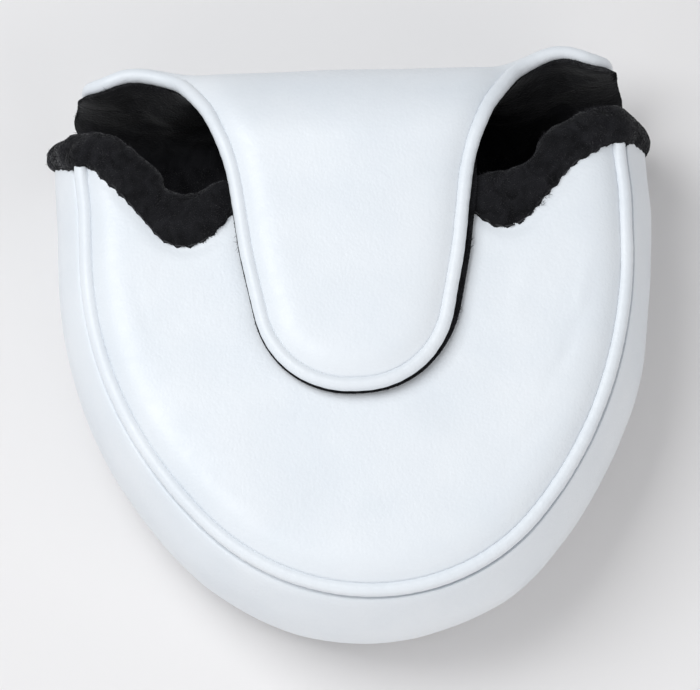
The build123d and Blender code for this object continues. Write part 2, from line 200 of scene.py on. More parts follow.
def sideways(path):
    """Unit vectors square to a flat path, to the right of its direction."""
    along = np.gradient(path, axis=0)
    along /= np.linalg.norm(along, axis=1)[:, None]
    return np.column_stack([along[:, 1], -along[:, 0]])


def distance_to(points, path):
    """How far each point is from a flat path."""
    starts, ends = path[:-1], path[1:]
    runs = ends - starts
    squares = np.maximum((runs ** 2).sum(1), 1e-12)
    result = np.empty(len(points))
    for first in range(0, len(points), 2000):
        some = points[first:first + 2000]
        offset = some[:, None, :] - starts[None]
        share = np.clip((offset * runs[None]).sum(2) / squares, 0, 1)
        away = offset - share[..., None] * runs[None]
        result[first:first + 2000] = np.sqrt((away ** 2).sum(2).min(1))
    return result


def inside(points, outline):
    """Which points lie inside a closed outline."""
    result = np.zeros(len(points), bool)
    xs, ys = points[:, 0], points[:, 1]
    for (x1, y1), (x2, y2) in zip(outline, np.roll(outline, -1, axis=0)):
        crosses = (y1 > ys) != (y2 > ys)
        if y1 != y2:
            result ^= crosses & (xs < (x2 - x1) * (ys - y1) / (y2 - y1) + x1)
    return result


# ---------------------------------------------------------------- noise

def wave_noise(points, scale, seed, count=14):
    """Smooth noise from -1 to 1 or so, as a sum of sine waves of about this length."""
    waves = np.random.default_rng(seed)
    points = np.asarray(points, float)
    total = np.zeros(len(points))
    for _ in range(count):
        direction = waves.normal(size=points.shape[1])
        direction /= np.linalg.norm(direction)
        length = scale * waves.uniform(0.7, 1.5)
        total += np.sin(points @ direction * 2 * pi / length + waves.uniform(0, 2 * pi))
    return total / count ** 0.5


# ---------------------------------------------------------------- mesh building

FRONT_LEAN = 0.9                # how far the front has shifted to the right over the back
NOSE_LEAN = 2.7                 # and how much further at the curved end
NOSE_FROM, NOSE_OVER = 15.0, 67.0       # the y behind which, and the length over which, that grows
STRAIGHT_FROM, STRAIGHT_OVER = 24.0, 14.0    # the same for where the shift fades at the mouth
LEANING = ("front", "gusset", "back")   # first words of the names of the pieces that shift


def leaned(points):
    """The soft body as it lies: its front and its curved end have moved a little to the right."""
    points = np.array(points, float)
    y = points[:, 1]
    high = np.clip(points[:, 2] / FRONT_SEAM, 0, 1)
    nose = np.clip((-y - NOSE_FROM) / NOSE_OVER, 0, 1) ** 1.6
    points[:, 0] += FRONT_LEAN * high * smooth((STRAIGHT_FROM - y) / STRAIGHT_OVER)
    points[:, 0] += NOSE_LEAN * (0.4 + 0.6 * high) * nose
    return points


def mesh_piece(name, points, faces, material):
    """A smooth-shaded object from points in millimetres."""
    if name.split("_")[0] in LEANING:
        points = leaned(points)
    mesh = bpy.data.meshes.new(name)
    mesh.from_pydata((np.asarray(points) * MM).tolist(), [], [list(map(int, f)) for f in faces])
    mesh.polygons.foreach_set("use_smooth", [True] * len(mesh.polygons))
    mesh.validate()
    mesh.update()
    mesh.set_sharp_from_angle(angle=radians(SHARP))
    piece = bpy.data.objects.new(name, mesh)
    bpy.context.scene.collection.objects.link(piece)
    mesh.materials.append(material)
    return piece


def filled(outline, spacing=SPACING, rings=RINGS):
    """Points and triangles that fill a closed outline, with rows that follow its edge."""
    outline = np.asarray(outline, float)
    area = 0.5 * np.sum(outline[:, 0] * np.roll(outline[:, 1], -1)
                        - outline[:, 1] * np.roll(outline[:, 0], -1))
    if area < 0:
        outline = outline[::-1]
    loop = np.vstack([outline, outline[:1]])
    closed = np.vstack([outline[-1:], outline, outline[:1]])
    inwards = -sideways(closed)[1:-1]
    chosen = []
    for ring in rings:
        row = outline + inwards * ring
        row = row[inside(row, outline)]
        chosen.append(row[distance_to(row, loop) > 0.96 * ring])
    low, high = outline.min(0), outline.max(0)
    rows = np.arange(low[1], high[1], spacing * ROW_HEIGHT)
    for index, y in enumerate(rows):
        xs = np.arange(low[0] + (index % 2) * spacing / 2, high[0], spacing)
        chosen.append(np.column_stack([xs, np.full(len(xs), y)]))
    grid = np.vstack(chosen[len(rings):])
    grid = grid[inside(grid, outline)]
    grid = grid[distance_to(grid, loop) > (rings[-1] if rings else 0) + 0.55 * spacing]
    near = np.vstack(chosen[:len(rings)] + [grid]) if rings else grid
    kept, cells = [], set()
    for point in near:
        cell = (round(point[0] / SAME_SPOT), round(point[1] / SAME_SPOT))
        if cell not in cells:
            cells.add(cell)
            kept.append(point)
    flat = np.vstack([outline, kept])
    edge = list(range(len(outline)))
    made = delaunay_2d_cdt([Vector(p) for p in flat], [], [edge], 1, 1e-5)
    return np.array([tuple(p) for p in made[0]]), np.array(made[2])


def edge_runs(triangles):
    """The directed edges that only one triangle has."""
    directed = np.vstack([triangles[:, [0, 1]], triangles[:, [1, 2]], triangles[:, [2, 0]]])
    known = set(map(tuple, directed))
    return [(a, b) for a, b in known if (b, a) not in known]


def slab(name, flat, triangles, upper, lower, material):
    """A closed sheet between two surfaces that share one flat pattern."""
    count = len(flat)
    faces = [tuple(t) for t in triangles]
    faces += [(a + count, c + count, b + count) for a, b, c in triangles]
    faces += [(b, a, a + count, b + count) for a, b in edge_runs(triangles)]
    return mesh_piece(name, np.vstack([upper, lower]), faces, material)


def frames(path):
    """Two unit vectors square to each point of a path in space, turning as little as possible."""
    along = np.gradient(path, axis=0)
    along /= np.linalg.norm(along, axis=1)[:, None]
    side = np.cross(along[0], (0, 0, 1.0))
    if np.linalg.norm(side) < 0.1:
        side = np.cross(along[0], (0, 1.0, 0))
    sides = []
    for direction in along:
        side = side - direction * (side @ direction)
        side /= np.linalg.norm(side)
        sides.append(side)
    sides = np.array(sides)
    return sides, np.cross(along, sides)


def tube(name, path, radius, material, sides, pucker):
    """A round piece along a path, with closed ends and a slight pucker at each stitch."""
    across, up = frames(path)
    lengths = np.linalg.norm(np.diff(path, axis=0), axis=1)
    along = np.concatenate([[0], np.cumsum(lengths)])
    angles = np.linspace(0, 2 * pi, sides, endpoint=False)
    radii = radius * np.ones((len(path), sides))
    radii -= pucker * (0.5 + 0.5 * np.cos(2 * pi * along / STITCH))[:, None]
    radii += pucker * wave_noise(path, 9.0, 3)[:, None] * 0.6
    rings = path[:, None, :] + radii[..., None] * (
        np.cos(angles)[None, :, None] * across[:, None, :] + np.sin(angles)[None, :, None] * up[:, None, :]
    )
    points = rings.reshape(-1, 3)
    faces = lofted(len(path), sides)
    return mesh_piece(name, points, faces, material)


def lofted(rows, sides):
    """Faces of a closed tube of rows rings, with flat ends."""
    faces = []
    for i in range(rows - 1):
        for j in range(sides):
            k = (j + 1) % sides
            faces.append((i * sides + j, i * sides + k, (i + 1) * sides + k, (i + 1) * sides + j))
    faces.append(tuple(reversed(range(sides))))
    faces.append(tuple(range((rows - 1) * sides, rows * sides)))
    return faces


# ---------------------------------------------------------------- materials

def node_material(name, base, roughness):
    """A new material, with its node tree, its shader and where its pattern is read."""
    material = bpy.data.materials.new(name)
    material.use_nodes = True
    nodes, links = material.node_tree.nodes, material.node_tree.links
    shader = nodes["Principled BSDF"]
    shader.inputs["Base Color"].default_value = (*base, 1)
    shader.inputs["Roughness"].default_value = roughness
    place = nodes.new("ShaderNodeTexCoord")
    return material, nodes, links, shader, place.outputs["Object"]


def texture(nodes, links, kind, place, scale, **inputs):
    made = nodes.new(kind)
    made.inputs["Scale"].default_value = scale
    for name, value in inputs.items():
        made.inputs[name].default_value = value
    links.new(place, made.inputs["Vector"])
    return made


def ramp(nodes, links, value, stops):
    """Colours or greys along a value from 0 to 1."""
    made = nodes.new("ShaderNodeValToRGB")
    while len(made.color_ramp.elements) < len(stops):
        made.color_ramp.elements.new(0.5)
    for element, (position, colour) in zip(made.color_ramp.elements, stops):
        element.position = position
        element.color = (*colour, 1) if len(colour) == 3 else (colour[0],) * 3 + (1,)
    links.new(value, made.inputs["Fac"])
    return made.outputs["Color"]


def bump(nodes, links, height, distance, strength, under=None):
    made = nodes.new("ShaderNodeBump")
    made.inputs["Distance"].default_value = distance
    made.inputs["Strength"].default_value = strength
    links.new(height, made.inputs["Height"])
    if under is not None:
        links.new(under, made.inputs["Normal"])
    return made.outputs["Normal"]


def white_leather():
    """Smooth synthetic leather: fine pebble, faint creases, and a soft sheen."""
    material, nodes, links, shader, place = node_material("white_leather", (0.80, 0.83, 0.86), 0.42)
    pebble = texture(nodes, links, "ShaderNodeTexVoronoi", place, 1500.0, Randomness=0.9)
    pebble.feature = "SMOOTH_F1"
    pebble.inputs["Smoothness"].default_value = 0.7
    fine = texture(nodes, links, "ShaderNodeTexNoise", place, 4200.0, Detail=4.0)
    crease = texture(nodes, links, "ShaderNodeTexNoise", place, 220.0, Detail=5.0, Distortion=1.4)
    cloud = texture(nodes, links, "ShaderNodeTexNoise", place, 45.0, Detail=3.0)
    tint = ramp(nodes, links, cloud.outputs["Fac"],
                [(0.3, (0.765, 0.80, 0.835)), (0.7, (0.815, 0.84, 0.865))])
    links.new(tint, shader.inputs["Base Color"])
    rough = ramp(nodes, links, crease.outputs["Fac"], [(0.3, (0.38,)), (0.7, (0.50,))])
    links.new(rough, shader.inputs["Roughness"])
    low = bump(nodes, links, crease.outputs["Fac"], 0.0003, 0.25)
    mid = bump(nodes, links, pebble.outputs["Distance"], 0.00010, 0.45, low)
    links.new(bump(nodes, links, fine.outputs["Fac"], 0.00003, 0.25, mid), shader.inputs["Normal"])
    shader.inputs["Specular IOR Level"].default_value = 0.45
    shader.inputs["Coat Weight"].default_value = 0.08
    shader.inputs["Coat Roughness"].default_value = 0.35
    return material


def black_plush(name, low, high):
    """Short black pile: matte, with painted sheen: its colour is mottled lighter and darker where it is
    brushed one way or the other, as the pile would catch the light; the same noise bumps it.
    """
    material, nodes, links, shader, place = node_material(name, (0.012, 0.012, 0.014), 0.95)
    brushed_sheen_and_nap = texture(nodes, links, "ShaderNodeTexNoise", place, 260.0, Detail=6.0, Distortion=0.8)
    tuft = texture(nodes, links, "ShaderNodeTexNoise", place, 1900.0, Detail=4.0)
    # painted sheen: the base colour runs from low to high with the brushed noise
    tint = ramp(nodes, links, brushed_sheen_and_nap.outputs["Fac"], [(0.35, low), (0.68, high)])
    links.new(tint, shader.inputs["Base Color"])
    rough = bump(nodes, links, brushed_sheen_and_nap.outputs["Fac"], 0.0006, 0.6)
    links.new(bump(nodes, links, tuft.outputs["Fac"], 0.0003, 0.8, rough), shader.inputs["Normal"])
    shader.inputs["Sheen Weight"].default_value = 0.16
    shader.inputs["Sheen Roughness"].default_value = 0.45
    shader.inputs["Specular IOR Level"].default_value = 0.1
    return material


def plain_cloth(name, light, dark, scale, roughness=0.9):
    """Foam, filler cord, thread and pouch cloth: a fine grain in two close tones."""
    material, nodes, links, shader, place = node_material(name, light, roughness)
    grain = texture(nodes, links, "ShaderNodeTexNoise", place, scale, Detail=5.0)
    links.new(ramp(nodes, links, grain.outputs["Fac"], [(0.35, dark), (0.65, light)]),
              shader.inputs["Base Color"])
    links.new(bump(nodes, links, grain.outputs["Fac"], 0.0002, 0.6), shader.inputs["Normal"])
    return material


def magnet_metal():
    """Plated steel with fine scratches."""
    material, nodes, links, shader, place = node_material("magnet_steel", (0.62, 0.62, 0.63), 0.3)
    scratch = texture(nodes, links, "ShaderNodeTexNoise", place, 900.0, Detail=6.0)
    links.new(ramp(nodes, links, scratch.outputs["Fac"], [(0.3, (0.22,)), (0.7, (0.38,))]),
              shader.inputs["Roughness"])
    shader.inputs["Metallic"].default_value = 1.0
    return material


LEATHER = white_leather()
# each plush's low and high colours are the dark and light ends of its painted sheen mottle
PLUSH_CLOTH = black_plush("black_plush", (0.005, 0.005, 0.006), (0.014, 0.014, 0.016))
PILE = black_plush("black_pile", (0.004, 0.004, 0.005), (0.021, 0.020, 0.024))
FOAM_STUFF = plain_cloth("foam", (0.78, 0.78, 0.74), (0.66, 0.66, 0.62), 1400.0)
CORD_STUFF = plain_cloth("white_cord", (0.82, 0.82, 0.80), (0.70, 0.70, 0.68), 2500.0)
THREAD = plain_cloth("black_thread", (0.035, 0.035, 0.038), (0.015, 0.015, 0.017), 5000.0)
POUCH = plain_cloth("pouch_cloth", (0.80, 0.80, 0.79), (0.70, 0.70, 0.69), 3000.0)
STEEL = magnet_metal()


# ---------------------------------------------------------------- front panel

piping_flat = u_line(0, MOUTH_Y + PAST_MOUTH)
plush_edge = rounded(PLUSH_EDGE, PLUSH_EDGE_RADII)

# soft creases of the front panel: centre, angle, half length, half width, height
CREASES = [
    (50, -22, 62, 11, 1.6, -0.20), (46, -30, 55, 9, 1.3, -0.16), (52, -12, 78, 8, 1.4, 0.15),
    (41, -44, 40, 12, 1.8, -0.14), (-50, -14, 105, 9, 1.6, -0.08), (-33, -56, 140, 10, 1.8, -0.08),
    (38, -12, 70, 10, 2.2, 0.12), (-44, -2, 60, 7, 1.4, -0.07),
]
CREASE_BEND = 0.012             # how much a crease curves along its length
PANEL_RADIUS = 70               # from the panel's middle to its seam, roughly
EDGE_DIP = 0.5                  # how far the rolled plush presses the panel's edge down


def squeezed(depth, inset, seam, reach=3.0, left=0.16):
    """A layer's depth near a seam, where the whole thickness is drawn in to the seam's depth."""
    share = 1 - (1 - left) * np.exp(-(np.maximum(inset - 0.6, 0) / reach) ** 1.25)
    return seam + (depth - seam) * share


def panel_relief(flat):
    """How far the front panel's surface stands above or below its even level."""
    slow = 0.16 * wave_noise(flat, 46, 11)
    fine = 0.035 * wave_noise(flat, 13, 12)
    crease = np.zeros(len(flat))
    for x, y, angle, length, width, height in CREASES:
        away = flat - np.array([x, y])
        u = away[:, 0] * cos(radians(angle)) + away[:, 1] * sin(radians(angle))
        v = -away[:, 0] * sin(radians(angle)) + away[:, 1] * cos(radians(angle))
        v = v + CREASE_BEND * u ** 2
        crease += height * np.exp(-(u / length) ** 2 - (v / width) ** 2)
    return slow + fine + crease


def front_surface(flat, depth, dip):
    """The front panel at this depth, with its edge pressed down by dip under the rolled plush."""
    inset = distance_to(flat, piping_flat)
    seam = FRONT_TOP - FRONT_SEAM
    down = squeezed(np.full(len(flat), depth), inset, seam)
    stitched = 0.10 * np.exp(-((inset - 1.7) / 0.9) ** 2) * seam_pucker(flat)
    height = FRONT_TOP - down + panel_relief(flat) * smooth((inset - 2) / 8) - stitched
    height -= dip * np.exp(-(distance_to(flat, plush_edge) / 1.6) ** 2)
    return np.column_stack([flat, height])


def seam_pucker(flat):
    """1 at each stitch and 0 between, by the angle round the middle of the panel."""
    turn = np.arctan2(flat[:, 1] - NOSE_Y / 2, flat[:, 0])
    return 0.5 + 0.5 * np.cos(turn * PANEL_RADIUS * 2 * pi / STITCH)


def front_outline(inset, beyond):
    """The front panel's flat pattern: the U inside the piping, closed under the rolled plush."""
    u = u_line(-inset, MOUTH_Y + PAST_MOUTH)
    edge = plush_edge - sideways(plush_edge) * beyond
    edge = edge[distance_to(edge, plush_edge) > 0.97 * beyond]
    edge = edge[np.abs(edge[:, 0]) < HALF_WIDTH - inset - 0.4]
    last = np.where(u[:, 0] < 0, edge[0, 1], edge[-1, 1])
    u = u[u[:, 1] < last - 0.2]
    return np.vstack([u, resample(edge, STEP)[::-1]])


def make_front_panel():
    flat, triangles = filled(front_outline(TUCK, UNDER_ROLL))
    for name, layer, material, slot in [
        ("front_panel_leather", SKIN, LEATHER, "white_leather"),
        ("front_panel_foam", FRONT_FOAM, FOAM_STUFF, "foam"),
    ]:
        upper = front_surface(flat, layer[0], EDGE_DIP)
        lower = front_surface(flat, layer[1], EDGE_DIP)
        if name == "front_panel_foam":
            lower[:, 2] = np.minimum(lower[:, 2], upper[:, 2] - 0.3)
        piece = slab(name + "_shape", flat, triangles, upper, lower, material)
        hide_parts(name)
        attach(piece, "shell")


def make_front_lining():
    flat, triangles = filled(front_outline(4.2, 2 * UNDER_ROLL), 2.2, (0.8, 2.0))
    upper = front_surface(flat, FRONT_PLUSH[0], 0)
    lower = front_surface(flat, FRONT_PLUSH[1], 0)
    rumple = 0.45 * wave_noise(flat, 17, 21) + 0.2 * wave_noise(flat, 6, 22)
    lower[:, 2] = CAVITY_TOP + rumple * smooth(distance_to(flat, piping_flat) / 12)
    piece = slab("front_lining_shape", flat, triangles, upper, lower, PLUSH_CLOTH)
    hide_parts("front_panel_lining")
    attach(piece, "shell")


# ---------------------------------------------------------------- gusset

GUSSET_BULGE = 6.4              # how far the gusset stands out past its seams
ROUNDNESS = 0.65                # from 0, an arc between the seams, to 1, half an ellipse
LIP_UP = 2.0                    # how far the gusset puffs up beside the front piping
LIP_BELOW = 1.1                 # how far below its edge, which leaves a tight dark groove
LIP_INNER, LIP_OUTER = 0.4, 3.0     # reach of that puff towards the seam, and away from it
SEAM_PULL = 0.9                 # how far the seams draw the leather in


def gusset_offset(height):
    """How far the gusset bulges out from the seam line at each height."""
    half = (GUSSET_HIGH - GUSSET_LOW) / 2
    radius = (half ** 2 + GUSSET_BULGE ** 2) / (2 * GUSSET_BULGE)
    off = height - (GUSSET_HIGH + GUSSET_LOW) / 2
    flatter = np.sqrt(np.maximum(radius ** 2 - off ** 2, 0)) - (radius - GUSSET_BULGE)
    rounder = GUSSET_BULGE * np.sqrt(np.maximum(1 - (off / half) ** 2, 0))
    return (1 - ROUNDNESS) * flatter + ROUNDNESS * rounder


END_SLOPE = {-1: 0.30, 1: 0.17}      # how much further back each gusset end is, for its depth


def end_y(side, height):
    """Where the rolled plush ends on the gusset, at this height on the left or the right."""
    start = PLUSH_EDGE[0][1] if side < 0 else PLUSH_EDGE[-1][1]
    return start + END_SLOPE[side] * (FRONT_SEAM - height)


def gusset_surface(line, out, heights, offset):
    """Points of the gusset: a row along the U for each height, up from the back seam."""
    points = []
    for z in heights:
        bulge = gusset_offset(z) + offset
        row = np.column_stack([line + out * bulge, np.full(len(line), z)])
        for side in (-1, 1):
            near = smooth((row[:, 1] + 10) / (MOUTH_Y + 10)) * (np.sign(row[:, 0]) == side)
            row[:, 1] += near * (end_y(side, z) + UNDER_ROLL - MOUTH_Y)
        points.append(row)
    return np.array(points)


def grid_slab(name, outer, inner, material):
    """A closed band between two grids of points of the same size."""
    rows, columns = outer.shape[:2]
    count = rows * columns
    at = np.arange(count).reshape(rows, columns)
    faces = []
    for i in range(rows - 1):
        for j in range(columns - 1):
            a, b, c, d = at[i, j], at[i, j + 1], at[i + 1, j + 1], at[i + 1, j]
            faces.append((a, b, c, d))
            faces.append((a + count, d + count, c + count, b + count))
    edge = list(at[0, :]) + list(at[1:, -1]) + list(at[-1, -2::-1]) + list(at[-2:0:-1, 0])
    for a, b in zip(edge, edge[1:] + edge[:1]):
        faces.append((b, a, a + count, b + count))
    points = np.vstack([outer.reshape(-1, 3), inner.reshape(-1, 3)])
    return mesh_piece(name, points, faces, material)


def make_gusset():
    """Leather, foam and lining of the gusset, each as its outer and inner offset from the seam."""
    line = u_line(0, MOUTH_Y)
    out = sideways(line)
    layers = [
        ("gusset_leather", 0.2, -1.0, LEATHER, "white_leather", 64, 0.8),
        ("gusset_foam", -1.05, -3.75, FOAM_STUFF, "foam", 14, 0.7),
        ("gusset_lining", -3.8, -7.4, PLUSH_CLOTH, "black_plush", 22, 0.5),
    ]
    for name, outside, inner, material, slot, rows, fill in layers:
        low = GUSSET_LOW - 0.6 if name == "gusset_leather" else GUSSET_LOW + 0.4
        high = GUSSET_HIGH + 0.5 if name == "gusset_leather" else GUSSET_HIGH - 0.6
        if name == "gusset_lining":
            low, high = CAVITY_FLOOR, CAVITY_TOP
        share = np.linspace(0, 1, rows)
        heights = low + (high - low) * (share - 0.6 * np.sin(2 * pi * share) / (2 * pi))
        skin = gusset_surface(line, out, heights, outside)
        back = gusset_surface(line, out, heights, inner)
        middle = np.sin(pi * (heights - low) / (high - low))[:, None]
        drawn = SEAM_PULL * np.exp(-((heights - GUSSET_HIGH) / 0.6) ** 2)
        drawn += SEAM_PULL * np.exp(-((heights - GUSSET_LOW) / 1.3) ** 2)
        skin[..., :2] -= drawn[:, None, None] * out[None]
        below = GUSSET_HIGH - heights - LIP_BELOW
        lip = np.exp(-(below / np.where(below < 0, LIP_INNER, LIP_OUTER)) ** 2)
        lip_right = 0.45 + 0.55 * smooth((line[:, 0] + 20) / 40)
        skin[..., 2] += LIP_UP * lip[:, None] * lip_right[None]
        if name == "gusset_leather":
            back[..., 2] += LIP_UP * lip[:, None] * lip_right[None]
            spots = skin.reshape(-1, 3)
            relief = (0.22 * wave_noise(spots, 34, 31) + 0.05 * wave_noise(spots, 11, 32))
            relief = relief.reshape(skin.shape[:2]) * middle
            skin[..., :2] += relief[..., None] * out[None]
        if name == "gusset_lining":
            spots = back.reshape(-1, 3)
            relief = (0.5 * wave_noise(spots, 16, 33) + 0.2 * wave_noise(spots, 6, 34))
            relief = relief.reshape(back.shape[:2]) * middle
            back[..., :2] += relief[..., None] * out[None]
        piece = grid_slab(name + "_shape", skin, back, material)
        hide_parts(name)
        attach(piece, "shell")


# ---------------------------------------------------------------- back, fold and flap

def section(s):
    """y and z of the outer face, and its outward normal, at distance s along the section."""
    s = np.asarray(s, float)
    back = np.clip(s / BACK_ARC, 0, pi / 2) - pi / 2
    front = np.clip((s - S_FLAP_ARC) / FLAP_ARC, 0, pi / 2)
    y = BACK_ARC_Y + BACK_ARC * np.cos(back) + FLAP_ARC * (np.cos(front) - 1)
    z = BACK_ARC + BACK_ARC * np.sin(back) + FLAP_ARC * np.sin(front)
    z = z + np.clip(s - S_UPRIGHT, 0, S_FLAP_ARC - S_UPRIGHT)
    y = y + np.minimum(s, 0) - np.maximum(s - S_FLAP, 0)
    angle = back + front
    return y, z, np.cos(angle), np.sin(angle)


FLARE = {-1: 3.5, 1: 6.0}       # how far each wing leans back, most at the middle of its top
HELD = 2.6                      # how much less it leans at its side, where the gusset holds it
CURL = 1.4                      # how far the side itself curls back, below the top
DRAWN_IN = 1.9                  # how far the sides of the wings draw in


def strip(flat, depth):
    """Points of the back, fold and flap from x, s and the depth below the outer face."""
    x, s = flat[:, 0], flat[:, 1]
    y, z, out_y, out_z = section(s)
    wide = np.abs(x)
    rise = smooth((s - 12) / 32) * smooth((68 - s) / 20)
    lean = np.where(x < 0, FLARE[-1], FLARE[1]) * smooth((wide - 33) / 17)
    lean = lean - HELD * smooth((wide - 51) / 12)
    lean = lean + CURL * smooth((wide - 54) / 9) * smooth((46 - s) / 16)
    y = y - depth * out_y + lean * rise
    z = z - depth * out_z
    drawn = DRAWN_IN * smooth((wide - 46) / 16) * smooth((s - 18) / 18)
    return np.column_stack([x - np.sign(x) * drawn, y, z])


def wing_line():
    """The piping's line from the right split, round wing, neck and tongue, to the left split."""
    right = WING + TONGUE
    radii = WING_RADII + TONGUE_RADII
    return rounded(right + mirrored(right), radii + list(reversed(radii)))


def clean_offset(path, amount):
    """The path moved to its right by amount, without the points that corners push too near."""
    moved = path + sideways(path) * amount
    far = distance_to(moved, path) > abs(amount) * 0.97
    return resample(moved[far], STEP)


PAST_SPLIT = 30                 # points of the wings' edge that the back panel's edge goes on with
wing_flat = wing_line()
back_flat = np.vstack([[(-HALF_WIDTH, S_SPLIT)], u_line(0, BACK_ARC_Y) - (0, BACK_ARC_Y),
                       [(HALF_WIDTH, S_SPLIT)]])
back_flat = resample(back_flat, STEP)
strip_edge_back = np.vstack([wing_flat[-PAST_SPLIT:], back_flat, wing_flat[:PAST_SPLIT]])
SEAM_DEPTH = BACK_SEAM          # depth of the seams below the outer face


def split_line(inset):
    """The line where the back pieces meet the fold pieces, from right to left."""
    edge = HALF_WIDTH - inset
    xs = np.linspace(edge, -edge, int(2 * edge / STEP))
    return np.column_stack([xs, np.full(len(xs), S_SPLIT)])


def strip_outline_front(inset):
    """The flat pattern of fold and flap: wings, neck and tongue, closed along the split."""
    around = clean_offset(wing_flat, -inset)
    around = around[around[:, 1] > S_SPLIT + 0.5]
    return np.vstack([around, split_line(inset)[::-1]])


def strip_outline_back(inset):
    """The flat pattern of the back panel: the U and its straight sides, closed along the split."""
    u = u_line(-inset, BACK_ARC_Y) - (0, BACK_ARC_Y)
    edge = HALF_WIDTH - inset
    up = np.linspace(1, S_SPLIT - 1, int(S_SPLIT - 1))
    right = np.column_stack([np.full(len(up), edge), up])
    left = np.column_stack([np.full(len(up), -edge), up[::-1]])
    return np.vstack([u, right, split_line(inset), left])


def strip_relief(flat):
    """Slow unevenness of the padded leather."""
    return 0.14 * wave_noise(flat, 40, 41) + 0.03 * wave_noise(flat, 12, 42)


def wing_share(flat):
    """1 on the wings, 0 on the neck, the flap and the back panel."""
    return smooth((np.abs(flat[:, 0]) - 30) / 12) * smooth((62 - flat[:, 1]) / 16)


def strip_surface(flat, depth, edge, relief=0.0):
    """A layer of the back, fold or flap at this depth, drawn in to its seam."""
    inset = distance_to(flat, edge)
    down = squeezed(np.full(len(flat), float(depth)), inset, SEAM_DEPTH)
    return strip(flat, down - relief * smooth((inset - 2) / 8))


PLUSH_ROLL = 3.9                # how far the wings' plush rolls out past the seam at their sides
TIP_ROLL = 1.6                  # how much further at the right wing's tip
FLAP_ROLL = {-1: 3.0, 1: 4.2}   # and how far the flap's does, on its left and its right


def plush_surface(flat, edge):
    """The lining's visible side: puffed up, rumpled, and rolled out past the piping."""
    inset = distance_to(flat, edge)
    wing = wing_share(flat)
    rise = smooth((flat[:, 1] - 6) / 20)
    puff = wing * (2.6 + 0.45 * wave_noise(flat, 30, 51)) + 0.25 * wave_noise(flat, 8, 52)
    domed = 1 - np.clip(1 - inset / 15, 0, 1) ** 2
    depth = PLUSH[1] + (0.3 + puff) * domed * rise
    depth = squeezed(depth, inset, SEAM_DEPTH + 0.5, 1.5, 0.45)
    thin_top = np.where(flat[:, 0] < 0, 0.3, -0.15) * smooth((flat[:, 1] - 36) / 8)
    on_wing = wing * smooth((np.abs(flat[:, 0]) - 44) / 12) * (1 - thin_top)
    on_neck = np.where(flat[:, 0] < 0, 0.4, 0.65)
    on_flap = smooth((flat[:, 1] - 74) / 12)
    on_right = smooth((flat[:, 0] - 2) / 16) * (1 - 0.7 * smooth((flat[:, 1] - 112) / 14))
    out_of_flap = FLAP_ROLL[-1] + (FLAP_ROLL[1] - FLAP_ROLL[-1]) * on_right
    at_tip = smooth((flat[:, 0] - 46) / 10) * smooth((flat[:, 1] - 37) / 5)
    roll = PLUSH_ROLL * rise * (on_neck + (1 - on_neck) * on_wing) * (1 - on_flap) + TIP_ROLL * at_tip
    roll = roll + out_of_flap * on_flap
    roll = roll * np.exp(-((inset - TUCK) / 3.0) ** 2)
    away = outward_from(flat, edge)
    return strip(flat + away * roll[:, None], depth)


def blend_at(piece, parent, child, start, end):
    """Bakes a piece's transform into its points; it is not bent, and the two bodies and the two distances
    are not used.
    """
    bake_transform(piece)


def make_strip(which, outline, edge, blending):
    """Leather, foam and lining of the back panel, or of the fold and flap."""
    flat, triangles = filled(outline)
    relief = strip_relief(flat)
    skin_in = strip_surface(flat, SKIN[1], edge, relief)
    nodes = {
        "back": ("back_panel_leather", "back_panel_foam", "back_panel_lining"),
        "flap": ("fold_leather flap_leather", "fold_foam flap_foam", "fold_lining flap_lining"),
    }[which]
    pieces = [
        slab(which + "_leather_shape", flat, triangles, strip_surface(flat, SKIN[0], edge, relief),
             skin_in, LEATHER),
        slab(which + "_foam_shape", flat, triangles, strip_surface(flat, FOAM[0], edge, relief),
             strip_surface(flat, FOAM[1], edge), FOAM_STUFF),
        slab(which + "_lining_shape", flat, triangles, strip_surface(flat, PLUSH[0], edge),
             plush_surface(flat, edge), PLUSH_CLOTH),
    ]
    for piece, names in zip(pieces, nodes):
        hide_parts(*names.split())
        blend_at(piece, *blending)


def outward_from(flat, edge):
    """Unit vectors from each point straight to the nearest part of the outline."""
    here = distance_to(flat, edge)
    slope = []
    for step in ((0.4, 0), (0, 0.4)):
        slope.append(distance_to(flat + step, edge) - distance_to(flat - step, edge))
    away = -np.column_stack(slope)
    size = np.maximum(np.linalg.norm(away, axis=1), 1e-6)
    return away / size[:, None] * smooth(here / 0.3)[:, None]


# the bodies of each bend, and the distances along the section where it starts and ends; blend_at() is
# given them but bends nothing
BACK_BLEND = ("shell", "fold", 4.0, 25.0)
FLAP_BLEND = ("fold", "flap", 46.0, 68.0)


# ---------------------------------------------------------------- piping

PIPING_STEP = 0.8               # distance between the rings of a piping
UNDER_RIM = 3.5                 # how far the front piping goes on under the rolled plush


